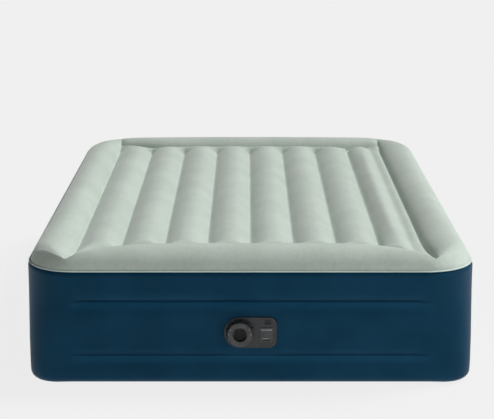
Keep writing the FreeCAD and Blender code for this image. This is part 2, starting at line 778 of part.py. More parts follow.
dial = pump_body("dial", x=dial_x)
spun(dial, "Revolution", polygon(
    (s.dial_radius, dial_back), (s.dial_radius, flange_front), (s.dial_front_radius, s.dial_out),
    (s.inlet_radius, s.dial_out), (s.inlet_radius, grille_front - s.grille_thick),
    (ledge_radius, grille_front - s.grille_thick), (ledge_radius, grille_front - s.grille_thick * 2),
    (s.inlet_radius, grille_front - s.grille_thick * 2), (s.inlet_radius, drum_end),
    (drum_radius, drum_end), (drum_radius, under_front), (s.dial_front_radius - s.dial_wall, under_front),
    (s.dial_radius - s.dial_wall, flange_front), (s.dial_radius - s.dial_wall, dial_back)))
grip = cut(dial, flange_front - s.dial_flange / 2, s.dial_out,
           circle(s.dial_radius + s.grip_radius - s.grip_depth * 2, 0, s.grip_radius))
around(dial, grip, s.grip_count)
spun(dial, "Groove", rectangle(drum_radius - s.seal_groove_depth, seal_low, s.seal_groove_depth * 2,
                               s.seal_groove_width))
cut(dial, port_low, port_low + s.port_width * 0.8,
    centred_rectangle(0, -drum_radius, s.port_width * 0.8, s.drum_wall * 4))

dial_grille = pump_body("dial_grille", x=dial_x)
pad(dial_grille, grille_front - s.grille_thick, grille_front, circle(0, 0, s.inlet_radius))
slot_step = s.grille_bar * 2
slot_half = s.inlet_radius * 0.92
slots = []
for index in range(-5, 6):
    offset = slot_step * index
    reach = root(slot_half * slot_half - offset * offset)
    slots.append(centred_rectangle(offset, 0, s.grille_bar, reach * 1.8))
cut(dial_grille, grille_front - s.grille_thick, grille_front, *slots)

drum_seal = pump_body("drum_seal", x=dial_x)
spun(drum_seal, "Revolution", circle(drum_radius - s.seal_groove_depth + s.seal_radius,
                                     seal_low + s.seal_groove_width / 2, s.seal_radius))

# The cord locker behind its door, and the gland that leads the cord out of it into the case.
locker_x = locker_left + s.locker_width / 2
locker_y = s.locker_bottom + s.locker_height / 2
locker_end = -s.locker_depth
locker_back = locker_end - s.locker_wall

cord_locker = pump_body("cord_locker")
pad(cord_locker, locker_back, plate_back,
    rectangle(locker_outer_left, locker_outer_bottom, locker_outer_width, locker_outer_height))
pad(cord_locker, deck_front, plate_back,
    rectangle(seat_left - s.locker_wall, seat_bottom - s.locker_wall, seat_width + s.locker_wall * 2,
              seat_height + s.locker_wall * 2))
cut(cord_locker, locker_end, plate_back,
    rectangle(locker_left, s.locker_bottom, s.locker_width, s.locker_height))
cut(cord_locker, -s.door_gap, plate_back, rectangle(seat_left, seat_bottom, seat_width, seat_height))
cut(cord_locker, locker_back, locker_end, circle(locker_x, locker_y, s.gland_neck_radius))

cord_gland = pump_body("cord_gland", x=locker_x, y=locker_y)
spun(cord_gland, "Revolution", polygon(
    (s.cord_hole_radius, locker_back - s.gland_head), (s.gland_radius, locker_back - s.gland_head),
    (s.gland_radius, locker_back), (s.gland_neck_radius, locker_back), (s.gland_neck_radius, locker_end),
    (s.gland_radius, locker_end), (s.gland_radius, locker_end + s.gland_head),
    (s.cord_hole_radius, locker_end + s.gland_head)))

cord_door = pump_body("cord_door", x=seat_middle, y=hinge_y, z=hinge_radius)
door_width = seat_width - s.door_gap * 2
door_drop = hinge_y - seat_bottom - s.door_gap
pad(cord_door, -hinge_radius, hinge_radius, centred_rectangle(0, -door_drop / 2, door_width, door_drop))
pad(cord_door, -door_width / 2, door_width / 2, circle(0, 0, hinge_radius), role="YZ_Plane")
pad(cord_door, hinge_radius - 0.5, hinge_radius + s.lip_out,
    centred_rectangle(0, -door_drop + s.lip_height, s.lip_width, s.lip_height))
cut(cord_door, -door_width / 2, door_width / 2, circle(0, 0, s.hinge_pin_radius + s.pin_gap), role="YZ_Plane")

door_pin = pump_body("door_pin", x=seat_middle, y=hinge_y, z=hinge_radius)
pin_half = seat_width / 2 + s.hinge_pin_hold
pad(door_pin, -pin_half, pin_half, circle(0, 0, s.hinge_pin_radius), role="YZ_Plane")

# The switch and its rocker, drawn tilted to the off side.
switch_front = s.plate_thick + s.switch_flange
switch_back = switch_front - s.switch_depth
rocker_slot = rectangle(-s.rocker_width / 2 - s.door_gap, -s.rocker_height / 2 - s.door_gap,
                        s.rocker_width + s.door_gap * 2, s.rocker_height + s.door_gap * 2)
pivot_reach = (s.switch_body_width + s.rocker_width) / 4

switch_body = pump_body("switch_body", x=s.switch_x, y=s.switch_y)
pad(switch_body, switch_back, switch_front,
    centred_rectangle(0, 0, s.switch_body_width, s.switch_body_height))
pad(switch_body, s.plate_thick, switch_front, centred_rectangle(0, 0, s.switch_width, s.switch_height))
cut(switch_body, s.plate_thick - s.rocker_depth * 2, switch_front, rocker_slot)
cut(switch_body, -pivot_reach, pivot_reach, circle(0, s.plate_thick, s.pivot_radius + s.pin_gap),
    role="YZ_Plane")

tilt = FreeCAD.Rotation(FreeCAD.Vector(1, 0, 0), -s.rocker_tilt.value)
switch_rocker = pump_body("switch_rocker", x=s.switch_x, y=s.switch_y, z=s.plate_thick, turn=tilt)
half_rocker = s.rocker_height / 2
pad(switch_rocker, -s.rocker_width / 2, s.rocker_width / 2, polygon(
    (-half_rocker, 0), (-half_rocker * 0.7, -s.rocker_depth), (half_rocker * 0.7, -s.rocker_depth),
    (half_rocker, 0), (half_rocker * 0.9, s.rocker_out), (0, s.rocker_dip), (-half_rocker * 0.9, s.rocker_out)),
    role="YZ_Plane")
pad(switch_rocker, -pivot_reach, pivot_reach, circle(0, 0, s.pivot_radius), role="YZ_Plane")

switch_terminals = pump_body("switch_terminals", x=s.switch_x, y=s.switch_y)
pad(switch_terminals, switch_back - s.terminal_length, switch_back,
    *[centred_rectangle(s.switch_body_width * share, 0, s.terminal_thick, s.terminal_width)
      for share in (-0.36, 0, 0.36)])

# The fan behind the sleeve's floor, and the motor behind the fan.
fan_end = floor_back - s.fan_case_depth
fan_floor = fan_end + s.fan_case_wall
motor_screw_places = [(s.motor_screw_place, as_length(0)), (-s.motor_screw_place, as_length(0))]
disc_back = fan_floor + s.impeller_gap
disc_front = disc_back + s.impeller_disc
can_back = fan_end - s.motor_length
cap_back = can_back - s.motor_cap_thick
core_middle = fan_end - s.motor_length / 2

fan_case = pump_body("fan_case", x=dial_x)
pad(fan_case, fan_end, floor_back, circle(0, 0, s.fan_case_radius))
cut(fan_case, fan_floor, floor_back, circle(0, 0, s.fan_case_radius - s.fan_case_wall))
cut(fan_case, fan_end, fan_floor, circle(0, 0, s.bush_radius + s.motor_wall),
    *[circle(x, y, s.case_screw_radius) for x, y in motor_screw_places])
cut(fan_case, fan_floor, floor_back,
    centred_rectangle(s.fan_case_radius, 0, s.fan_case_wall * 4, s.outlet_radius))

impeller = pump_body("impeller", x=dial_x)
pad(impeller, disc_back, disc_front, circle(0, 0, s.impeller_radius))
pad(impeller, disc_back, disc_front + s.blade_height - 1, circle(0, 0, s.hub_radius))
blade = pad(impeller, disc_back, disc_front + s.blade_height,
            rectangle(s.hub_radius - 1, -s.blade_thick / 2, s.impeller_radius - s.hub_radius, s.blade_thick))
around(impeller, blade, s.blade_count)
cut(impeller, disc_back, disc_front + s.blade_height, circle(0, 0, s.shaft_radius))

motor_shaft = pump_body("motor_shaft", x=dial_x)
pad(motor_shaft, cap_back - 1, disc_front + s.blade_height - 1, circle(0, 0, s.shaft_radius))

armature = pump_body("armature", x=dial_x)
armature_radius = s.motor_radius - s.motor_wall - s.magnet_thick - s.magnet_gap
pad(armature, core_middle - s.armature_length / 2, core_middle + s.armature_length / 2,
    circle(0, 0, armature_radius))
slot = cut(armature, core_middle - s.armature_length / 2, core_middle + s.armature_length / 2,
           rectangle(armature_radius * 0.45, -s.slot_width / 2, armature_radius, s.slot_width))
around(armature, slot, s.slot_count)
cut(armature, core_middle - s.armature_length / 2, core_middle + s.armature_length / 2,
    circle(0, 0, s.shaft_radius))

motor_can = pump_body("motor_can", x=dial_x)
pad(motor_can, can_back, fan_end, circle(0, 0, s.motor_radius))
cut(motor_can, can_back, fan_end - s.motor_wall, circle(0, 0, s.motor_radius - s.motor_wall))
cut(motor_can, fan_end - s.motor_wall, fan_end, circle(0, 0, s.bush_radius),
    *[circle(x, y, s.case_screw_radius) for x, y in motor_screw_places])

motor_cap = pump_body("motor_cap", x=dial_x)
pad(motor_cap, cap_back, can_back, circle(0, 0, s.motor_radius), circle(0, 0, s.bush_radius))

motor_bushes = pump_body("motor_bushes", x=dial_x)
for low in (fan_end - s.bush_length, cap_back):
    pad(motor_bushes, low, low + s.bush_length,
        circle(0, 0, s.bush_radius), circle(0, 0, s.shaft_radius + s.shaft_gap))

magnet_outer = s.motor_radius - s.motor_wall
motor_magnets = pump_body("motor_magnets", x=dial_x)
pad(motor_magnets, core_middle - s.armature_length / 2, core_middle + s.armature_length / 2,
    circle(0, 0, magnet_outer), circle(0, 0, magnet_outer - s.magnet_thick))
cut(motor_magnets, core_middle - s.armature_length / 2, core_middle + s.armature_length / 2,
    centred_rectangle(0, 0, s.motor_radius * 2, s.motor_radius))

motor_screws = pump_body("motor_screws", x=dial_x)
pad(motor_screws, fan_floor - s.fan_case_wall * 0.75, fan_floor,
    *[circle(x, y, s.case_screw_radius * 2) for x, y in motor_screw_places])
pad(motor_screws, fan_floor - s.motor_screw_length, fan_floor - s.fan_case_wall * 0.75,
    *[circle(x, y, s.case_screw_radius) for x, y in motor_screw_places])
cut(fan_case, fan_floor - s.fan_case_wall * 0.75, fan_floor,
    *[circle(x, y, s.case_screw_radius * 2) for x, y in motor_screw_places])

# The check flap that keeps the air in: it swings into the bag from a pin over the outlet.
flap_low = -s.flap_thick / 2
check_flap = pump_body("check_flap", y=s.flap_hinge_place, z=flap_axis_z)
pad(check_flap, flap_low, flap_low + s.flap_thick, circle(0, -s.flap_hinge_place, s.flap_radius))
pad(check_flap, flap_low, flap_low + s.flap_thick,
    centred_rectangle(0, -s.flap_hinge_place / 2, s.flap_arm_width, s.flap_hinge_place))
pad(check_flap, -s.flap_barrel_length / 2, s.flap_barrel_length / 2, circle(0, 0, s.flap_barrel_radius),
    role="YZ_Plane")
cut(check_flap, -s.flap_barrel_length / 2, s.flap_barrel_length / 2,
    circle(0, 0, s.flap_pin_radius + s.pin_gap), role="YZ_Plane")

flap_seal = pump_body("flap_seal", y=s.flap_hinge_place, z=flap_axis_z)
seal_edge = s.outlet_radius + s.flap_seal_width
pad(flap_seal, flap_low + s.flap_thick, flap_low + s.flap_thick + s.flap_seal_thick,
    circle(0, -s.flap_hinge_place, seal_edge), circle(0, -s.flap_hinge_place, s.outlet_radius))

flap_pin = pump_body("flap_pin", y=s.flap_hinge_place, z=flap_axis_z)
flap_pin_half = lug_left + s.flap_lug_width
pad(flap_pin, -flap_pin_half, flap_pin_half, circle(0, 0, s.flap_pin_radius), role="YZ_Plane")

doc.recompute()
for item in doc.Objects:
    if "Invalid" in item.State or "Error" in item.State:
        raise RuntimeError(f"{item.Name} did not rebuild: {item.State}")
os.makedirs("parts", exist_ok=True)
for sub_part in sub_parts:
    shape = sub_part.Shape
    if shape.isNull() or not shape.isValid() or not shape.Solids:
        raise RuntimeError(f"{sub_part.Label} is not a sound solid")
    shape.exportStep(f"parts/{sub_part.Label}.step")
print(f"{len(sub_parts)} sub-parts written")
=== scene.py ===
import json
import math
import bmesh
import bpy
from mathutils import Matrix, Vector


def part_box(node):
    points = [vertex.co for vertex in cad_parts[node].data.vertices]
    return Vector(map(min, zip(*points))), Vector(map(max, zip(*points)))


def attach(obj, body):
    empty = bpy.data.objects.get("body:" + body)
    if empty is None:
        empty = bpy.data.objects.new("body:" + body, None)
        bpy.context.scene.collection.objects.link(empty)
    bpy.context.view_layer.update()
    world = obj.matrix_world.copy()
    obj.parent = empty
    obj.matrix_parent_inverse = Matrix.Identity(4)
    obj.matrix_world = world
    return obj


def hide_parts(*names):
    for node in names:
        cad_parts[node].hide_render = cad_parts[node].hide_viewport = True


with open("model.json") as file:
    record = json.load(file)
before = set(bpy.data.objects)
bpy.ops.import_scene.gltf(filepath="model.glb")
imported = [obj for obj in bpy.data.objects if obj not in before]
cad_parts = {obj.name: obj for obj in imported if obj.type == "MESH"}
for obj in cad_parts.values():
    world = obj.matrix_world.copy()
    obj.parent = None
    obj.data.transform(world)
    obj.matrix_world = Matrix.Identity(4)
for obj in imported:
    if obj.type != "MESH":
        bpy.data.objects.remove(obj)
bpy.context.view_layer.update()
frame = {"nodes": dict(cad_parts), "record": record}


# ---------------------------------------------------------------- shader helpers

class Wire:
    """A shader socket that takes part in Python arithmetic."""

    def __init__(self, finish, socket):
        self.finish = finish
        self.socket = socket

    def _math(self, operation, first, second):
        return self.finish.node("ShaderNodeMath", {"operation": operation}, {0: first, 1: second})

    def __add__(self, other):
        return self._math("ADD", self, other)

    def __radd__(self, other):
        return self._math("ADD", other, self)

    def __sub__(self, other):
        return self._math("SUBTRACT", self, other)

    def __rsub__(self, other):
        return self._math("SUBTRACT", other, self)

    def __mul__(self, other):
        return self._math("MULTIPLY", self, other)

    def __rmul__(self, other):
        return self._math("MULTIPLY", other, self)

    def size(self):
        return self._math("ABSOLUTE", self, 0.0)


class Finish:
    """A material built from a Principled shader and the nodes that feed it."""

    def __init__(self, name, **constants):
        self.material = bpy.data.materials.new(name)
        self.material.use_nodes = True
        self.tree = self.material.node_tree
        self.shader = self.tree.nodes["Principled BSDF"]
        for socket, value in constants.items():
            self.shader.inputs[socket.replace("_", " ")].default_value = value
        self.place = self.node("ShaderNodeTexCoord", {}, {}, "Object")

    def node(self, kind, settings, sockets, output=0):
        """A new node: its type, its settings, what goes into its sockets, and the output that is wanted."""
        made = self.tree.nodes.new(kind)
        for name, value in settings.items():
            setattr(made, name, value)
        for name, value in sockets.items():
            if isinstance(value, Wire):
                self.tree.links.new(value.socket, made.inputs[name])
            else:
                made.inputs[name].default_value = value
        return Wire(self, made.outputs[output])

    def feed(self, socket, wire):
        self.tree.links.new(wire.socket, self.shader.inputs[socket])

    def speckle(self, scale, detail=2.0, roughness=0.5):
        return self.node("ShaderNodeTexNoise", {}, {
            "Vector": self.place, "Scale": scale, "Detail": detail, "Roughness": roughness})

    def axis(self, name):
        return self.node("ShaderNodeSeparateXYZ", {}, {0: self.place}, name)

    def blend(self, factor, low, high):
        return self.node("ShaderNodeMix", {"data_type": "RGBA"}, {0: factor, 6: low, 7: high}, 2)

    def step(self, value, low, high):
        """0 below low, 1 above high, smooth between."""
        return self.node("ShaderNodeMapRange", {"interpolation_type": "SMOOTHSTEP"}, {
            "Value": value, "From Min": low, "From Max": high})

    def raise_by(self, height, distance, strength, under=None):
        """A bump, on top of another where one is given."""
        sockets = {"Height": height, "Distance": distance, "Strength": strength}
        if under:
            sockets["Normal"] = under
        return self.node("ShaderNodeBump", {}, sockets)


def opaque(red, green, blue):
    """A colour with no transparency."""
    return (red, green, blue, 1.0)


# ---------------------------------------------------------------- sizes read from the frame

wall_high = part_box("side_wall")[1]
top_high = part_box("top_sheet")[1]
beam_lows = [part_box(f"channel_beam_{index}")[0] for index in range(1, 10)]
end_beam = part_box("head_beam")[0]
plate_low, plate_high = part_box("face_plate")

HALF_W = wall_high[0]
HALF_L = wall_high[1]
SEAM_Z = wall_high[2]
TOP_Z = top_high[2]
SKIN = 0.0015
WELD_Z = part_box("channel_beam_1")[1][2] + SKIN
CORNER = 0.17
GROOVES = [low[0] + SKIN / 2 for low in beam_lows]
PITCH = GROOVES[1] - GROOVES[0]
FIELD_X = GROOVES[-1]
FIELD_Y = end_beam[1] + SKIN / 2
TIE_Z = [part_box(f"foot_tie_{level}")[0][2] + SKIN / 2 for level in ("upper", "lower")]
TIE_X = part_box("foot_tie_upper")[1][0]
TIE_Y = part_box("right_tie_upper")[1][1]
TIE_INSET = HALF_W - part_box("right_tie_upper")[1][0] - SKIN


def new_piece(name, bm, finish, body="mattress"):
    """An object made from a bmesh, with its finish and the body that it moves with."""
    mesh = bpy.data.meshes.new(name)
    bm.to_mesh(mesh)
    bm.free()
    piece = bpy.data.objects.new(name, mesh)
    bpy.context.scene.collection.objects.link(piece)
    mesh.materials.append(finish.material)
    mesh.shade_smooth()
    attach(piece, body)
    return piece


# ---------------------------------------------------------------- camera, light and floor

CAMERA_PLACE = (-0.0114, -5.3476, 1.7148)
CAMERA_DOWN = 14.25
LENS = 99.3
TOWARDS_KEY = (0.52, 0.24, 0.66)
SIDE_PLACE = (2.2, -2.9, 1.1)
SIDE_AIM = (0.3, -1.0, 0.25)
FLOOR_GLOW = 0.82
FLOOR_HALF = 300

camera = bpy.data.objects.new("camera", bpy.data.cameras.new("camera"))
bpy.context.scene.collection.objects.link(camera)
camera.location = CAMERA_PLACE
camera.rotation_euler = (math.radians(90 - CAMERA_DOWN), 0, 0)
camera.data.lens = LENS
bpy.context.scene.camera = camera
bpy.context.scene.view_settings.view_transform = "Standard"

world = bpy.data.worlds.new("studio")
world.use_nodes = True
world.node_tree.nodes["Background"].inputs["Color"].default_value = (1, 1, 1, 1)
world.node_tree.nodes["Background"].inputs["Strength"].default_value = 0.11
bpy.context.scene.world = world

key = bpy.data.objects.new("key", bpy.data.lights.new("key", "SUN"))
key.data.energy = 3.02
key.data.angle = math.radians(20)
key.rotation_euler = Vector(TOWARDS_KEY).to_track_quat("Z", "Y").to_euler()
bpy.context.scene.collection.objects.link(key)

side = bpy.data.objects.new("side", bpy.data.lights.new("side", "AREA"))
side.data.energy = 19
side.data.size = 1.6
side.location = SIDE_PLACE
side.visible_camera = False
side.rotation_euler = (side.location - Vector(SIDE_AIM)).to_track_quat("Z", "Y").to_euler()
bpy.context.scene.collection.objects.link(side)


def studio_floor():
    """A wide pale floor that gives a little light of its own."""
    finish = Finish("pale floor", Roughness=1.0, Specular_IOR_Level=0.0)
    tone = finish.speckle(0.7, 1.0)
    finish.feed("Base Color", finish.blend(tone, opaque(0.058, 0.058, 0.058), opaque(0.062, 0.062, 0.062)))
    finish.shader.inputs["Emission Color"].default_value = (1, 1, 1, 1)
    finish.shader.inputs["Emission Strength"].default_value = FLOOR_GLOW
    bm = bmesh.new()
    bmesh.ops.create_grid(bm, x_segments=4, y_segments=4, size=FLOOR_HALF)
    mesh = bpy.data.meshes.new("floor")
    bm.to_mesh(mesh)
    bm.free()
    floor = bpy.data.objects.new("floor", mesh)
    bpy.context.scene.collection.objects.link(floor)
    mesh.materials.append(finish.material)


studio_floor()


# ---------------------------------------------------------------- finishes

def flocked_film():
    """Short-pile flock: matt, and mottled where the nap lies differently."""
    finish = Finish("sage flock", Sheen_Weight=0.25, Sheen_Roughness=0.5, Specular_IOR_Level=0.25)
    nap = finish.speckle(7.0, 3.0, 0.55)
    pile = finish.speckle(900.0, 2.0, 0.6)
    clumps = finish.speckle(70.0, 3.0, 0.6)
    tone = nap * 0.45 + clumps * 0.35 + pile * 0.2
    shade = finish.step(tone, 0.36, 0.64)
    finish.feed("Base Color", finish.blend(shade, opaque(0.50, 0.575, 0.51), opaque(0.575, 0.65, 0.585)))
    finish.feed("Roughness", clumps * 0.12 + 0.84)
    coarse = finish.raise_by(clumps, 0.0012, 0.35)
    finish.feed("Normal", finish.raise_by(pile, 0.0006, 0.5, coarse))
    return finish


def wall_film(name, dark, light, welds=()):
    """Satin PVC film, embossed and a little rippled, with painted shade in a dark line at its welds and a
    painted highlight in a pale band below them.
    """
    finish = Finish(name, Specular_IOR_Level=0.14)
    emboss = finish.node("ShaderNodeTexVoronoi", {}, {"Vector": finish.place, "Scale": 900.0})
    cloud = finish.speckle(5.0, 3.0, 0.5)
    # Noise for the scuffed roughness; it also varies the strength of the painted highlight below the welds.
    scuff_and_highlight_noise = finish.speckle(55.0, 4.0, 0.65)
    colour = finish.blend(finish.step(cloud, 0.35, 0.65), opaque(*dark), opaque(*light))
    if welds:
        x, y, z = finish.axis("X"), finish.axis("Y"), finish.axis("Z")
        on_ends = 1 - finish.step(x.size(), TIE_X - 0.03, TIE_X + 0.04)
        on_sides = 1 - finish.step(y.size(), TIE_Y - 0.03, TIE_Y + 0.04)
        # Painted shade: a dark line along each weld, where the crease between the panels falls into shadow.
        painted_weld_shade = 0.0
        # Painted highlight: a pale band under each weld, where the panel below turns up into the light.
        painted_weld_highlight = 0.0
        for level in welds:
            above = finish.step(z, level + 0.001, level + 0.010)
            below = finish.step(z, level - 0.0050, level - 0.0015)
            painted_weld_shade = painted_weld_shade + below * (1 - above)
            painted_weld_highlight = painted_weld_highlight + finish.step(z, level - 0.040, level - 0.007) * (1 - below)
        reach = on_ends + on_sides
        # The weld lines are darkened to the painted-shade colour, only where the welds run.
        colour = finish.blend(painted_weld_shade * reach * 0.50, colour, opaque(0.0010, 0.0130, 0.0330))
        # The painted highlight's colour, about twice as light as the film.
        pale = tuple(min(1.0, 2.1 * value + 0.006) for value in light)
        colour = finish.blend(painted_weld_highlight * reach * (0.30 + 0.3 * scuff_and_highlight_noise), colour, opaque(*pale))
    finish.feed("Base Color", colour)
    finish.feed("Roughness", 0.40 + 0.10 * scuff_and_highlight_noise + 0.05 * cloud)
    ripple = finish.raise_by(finish.speckle(9.0, 2.0, 0.5), 0.004, 0.25)
    finish.feed("Normal", finish.raise_by(emboss, 0.0004, 0.35, ripple))
    return finish


def moulded(name, dark, light, roughness=0.42, grain=1400.0, depth=0.00015):
    """Injection-moulded plastic with a spark-eroded grain and handling wear."""
    finish = Finish(name, Specular_IOR_Level=0.5)
    cloud = finish.speckle(35.0, 3.0, 0.6)
    bead = finish.speckle(grain, 2.0, 0.6)
    finish.feed("Base Color", finish.blend(finish.step(cloud, 0.3, 0.7), opaque(*dark), opaque(*light)))
    finish.feed("Roughness", cloud * 0.16 + (roughness - 0.08))
    finish.feed("Normal", finish.raise_by(bead, depth, 0.5))
    return finish


def metal(name, colour, roughness=0.3):
    """Plated metal with drawn lines and dull patches."""
    finish = Finish(name, Metallic=1.0)
    patch = finish.speckle(180.0, 3.0, 0.6)
    lines = finish.node("ShaderNodeTexWave", {"bands_direction": "Z"}, {
        "Vector": finish.place, "Scale": 900.0, "Distortion": 3.0, "Detail": 2.0})
    darker = tuple(0.75 * value for value in colour)
    finish.feed("Base Color", finish.blend(patch, opaque(*darker), opaque(*colour)))
    finish.feed("Roughness", patch * 0.2 + roughness)
    finish.feed("Normal", finish.raise_by(lines, 0.00005, 0.3))
    return finish


FLOCK = flocked_film()
NAVY = wall_film("navy film", (0.0022, 0.0350, 0.0750), (0.0042, 0.0430, 0.0890), TIE_Z)
NAVY.shader.inputs["Specular Tint"].default_value = opaque(0.45, 0.85, 1.0)
# The lip is paler than the flock: partly its own edge colour, partly a painted highlight where the seam
# catches light.
BEAD = wall_film("welded lip", (0.56, 0.66, 0.62), (0.64, 0.74, 0.69))
UNDER = wall_film("underside film", (0.010, 0.030, 0.055), (0.014, 0.038, 0.066))
INNER = wall_film("plain film", (0.38, 0.41, 0.42), (0.46, 0.48, 0.49))
GREY = moulded("charcoal plastic", (0.030, 0.031, 0.033), (0.045, 0.046, 0.048), 0.38)
BLACK = moulded("black plastic", (0.008, 0.008, 0.009), (0.014, 0.014, 0.015), 0.45)
WHITE = moulded("white plastic", (0.62, 0.62, 0.60), (0.72, 0.72, 0.70), 0.45)
RUBBER = moulded("black rubber", (0.012, 0.012, 0.012), (0.022, 0.022, 0.022), 0.75, 500.0, 0.0003)
STEEL = metal("plated steel", (0.62, 0.62, 0.61))
PLATE = moulded("face plate plastic", (0.016, 0.018, 0.020), (0.026, 0.028, 0.031), 0.42)
DIAL = moulded("dial plastic", (0.030, 0.031, 0.032), (0.060, 0.061, 0.062), 0.26)
DOOR = moulded("door plastic", (0.034, 0.035, 0.037), (0.056, 0.057, 0.060), 0.36)
# Pale grey used for painted highlights: the glints on the dial and the lit edges of the door.
PAINTED_HIGHLIGHT = moulded("painted highlight grey", (0.20, 0.21, 0.22), (0.30, 0.31, 0.32), 0.30)
DARK_STEEL = metal("blackened steel", (0.10, 0.10, 0.11), 0.35)
BRASS = metal("brass", (0.70, 0.50, 0.22))
MAGNET = moulded("ferrite", (0.03, 0.03, 0.03), (0.05, 0.05, 0.05), 0.7)

BY_SLOT = {
    "flocked_pvc": FLOCK, "navy_pvc": NAVY, "inner_pvc": INNER, "collar_pvc": NAVY,
    "grey_plastic": GREY, "black_plastic": BLACK, "white_plastic": WHITE, "rubber": RUBBER, "steel": STEEL,
    "zinc_steel": STEEL, "brass": BRASS, "black_magnet": MAGNET,
}
BY_NODE = {
    "face_plate": PLATE, "dial": DIAL, "cord_door": DOOR, "plate_screws": DARK_STEEL, "dial_grille": BLACK,
}
for entry in frame["record"]["subparts"]:
    node = frame["nodes"][entry["node"]]
    node.data.materials.clear()
    node.data.materials.append(BY_NODE.get(entry["node"], BY_SLOT[entry["material_slot"]]).material)


# ---------------------------------------------------------------- the flocked top

# The roll's quarter round, and how much longer the film is over it than the bed is in plan.
ROLL_R = TOP_Z - SEAM_Z
QUARTER = ROLL_R * math.pi / 2
SEAM_U = HALF_W - top_high[0]
SPARE = QUARTER - ROLL_R - SEAM_U
SPAN_X = HALF_W + SPARE
SPAN_Y = HALF_L + SPARE
FILM_CORNER = CORNER + SPARE
# The channels, the side rolls and the bolsters at the two ends.
STRIP = 0.047
WELD_HALF = 0.004
CHANNEL_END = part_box("channel_beam_2")[1][1]
CHANNEL_RISE = 0.037
STRIP_RISE = 0.017
ROLL_REACH = 0.080
BOLSTER_LIFT = {"foot": 0.0085, "head": 0.003}
BOLSTER_REACH = 0.058
BOLSTER_BEND = 0.30
CREASE_ENDS = 0.42
CREASE_HALF = 0.002
CREASE_REACH = {"roll": 0.034, "bolster": 0.060}
CORNER_SLOPE = 0.95
# Where the welds meet at each corner: how far the pinch is drawn on and out, and how high it lies.
PINCHES = {
    "foot": {"on": 0.132, "out": 0.022, "lift": 0.012},
    "head": {"on": 0.045, "out": 0.0, "lift": 0.016},
}
PINCH_CURVE = 2.3
DRAWN_ALONG = 0.34
DRAWN_OUT = 0.12
DRAWN_NEAR = 0.16
CORNER_FROM = 0.27
CORNER_TO = 0.06
# The grid's cells over a channel, over a roll and along the field.
CELLS = 12
ROLL_CELLS = 18
HALF_CHANNELS = (len(GROOVES) - 1) // 2
X_CELLS = HALF_CHANNELS * CELLS + ROLL_CELLS
FIELD_CELLS = 66
Y_CELLS = FIELD_CELLS + ROLL_CELLS
# The film's last swelling under air pressure.
AIR_PRESSURE = 4.0
AIR_FRAMES = 20
MOST_SWELL = 0.008


def ramp(value, low, high):
    """0 at low, 1 at high, smooth between."""
    share = max(0.0, min(1.0, (value - low) / (high - low)))
    return share * share * (3 - 2 * share)


def roll_step(cell, cells, span):
    """How far over a roll a grid line lies: one weld's half-width, then even steps to the seam."""
    return 0.0 if cell == 0 else WELD_HALF + (span - WELD_HALF) * (cell - 1) / (cells - 1)


def across(cell):
    """Where a grid line lies from the bed's middle, measured over the film: closer together at the welds."""
    count = abs(cell)
    if count > HALF_CHANNELS * CELLS:
        place = FIELD_X + roll_step(count - HALF_CHANNELS * CELLS, ROLL_CELLS, SPAN_X - FIELD_X)
    else:
        whole, part = divmod(count, CELLS)
        place = whole * PITCH
        if part:
            place += WELD_HALF + (PITCH - 2 * WELD_HALF) * (part - 1) / (CELLS - 2)
    return math.copysign(place, cell)


def along(cell):
    """The same for the grid lines that cross the bed: even over the field, then over the end bolster."""
    count = abs(cell)
    if count <= FIELD_CELLS:
        place = FIELD_Y * count / FIELD_CELLS
    else:
        place = FIELD_Y + roll_step(count - FIELD_CELLS, ROLL_CELLS, SPAN_Y - FIELD_Y)
    return math.copysign(place, cell)


def end_of(v):
    """The end of the bed that a place along it belongs to."""
    return "foot" if v < 0 else "head"


def draw_to_pinch(u, v):
    """The end bolsters narrow to a pinch at each corner: the film there is drawn out towards the corner."""
    x, y = abs(u), abs(v)
    pinch = PINCHES[end_of(v)]
    bend = max(0.0, min(1.0, (x - BOLSTER_BEND) / (FIELD_X - BOLSTER_BEND))) ** PINCH_CURVE
    bend *= 1 - ramp(x, FIELD_X, SPAN_X)
    if y < FIELD_Y:
        y += pinch["on"] * bend * ramp(y, FIELD_Y - DRAWN_ALONG, FIELD_Y)
    else:
        y += pinch["on"] * bend * (SPAN_Y - y) / (SPAN_Y - FIELD_Y)
    near = ramp(abs(v), FIELD_Y - DRAWN_NEAR, FIELD_Y)
    if x < FIELD_X:
        x += pinch["out"] * near * ramp(x, FIELD_X - DRAWN_OUT, FIELD_X)
    else:
        x += pinch["out"] * near * (SPAN_X - x) / (SPAN_X - FIELD_X)
    return math.copysign(x, u), math.copysign(y, v)


def to_bed(film_x, film_y):
    """The place in plan, and the film's distance from the seam, of a point given over the film."""
    x, y = abs(film_x), abs(film_y)
    dx, dy = x - (SPAN_X - FILM_CORNER), y - (SPAN_Y - FILM_CORNER)
    if dx > 0 and dy > 0:
        u, v = dx / FILM_CORNER, dy / FILM_CORNER
        cx, cy = u * math.sqrt(1 - v * v / 2), v * math.sqrt(1 - u * u / 2)
        reach = max(math.hypot(cx, cy), 1e-9)
        inset, way = (1 - reach) * FILM_CORNER, (cx / reach, cy / reach)
    else:
        inset, way = min(SPAN_X - x, SPAN_Y - y), ((1, 0) if SPAN_X - x < SPAN_Y - y else (0, 1))
    if inset < QUARTER:
        flat = SEAM_U + ROLL_R * (1 - math.cos(inset / ROLL_R))
    else:
        flat = inset - SPARE
    if dx > 0 and dy > 0:
        px = HALF_W - CORNER + way[0] * (CORNER - flat)
        py = HALF_L - CORNER + way[1] * (CORNER - flat)
    elif way[0]:
        px, py = HALF_W - flat, y
    else:
        px, py = x, HALF_L - flat
    return math.copysign(px, film_x), math.copysign(py, film_y), inset


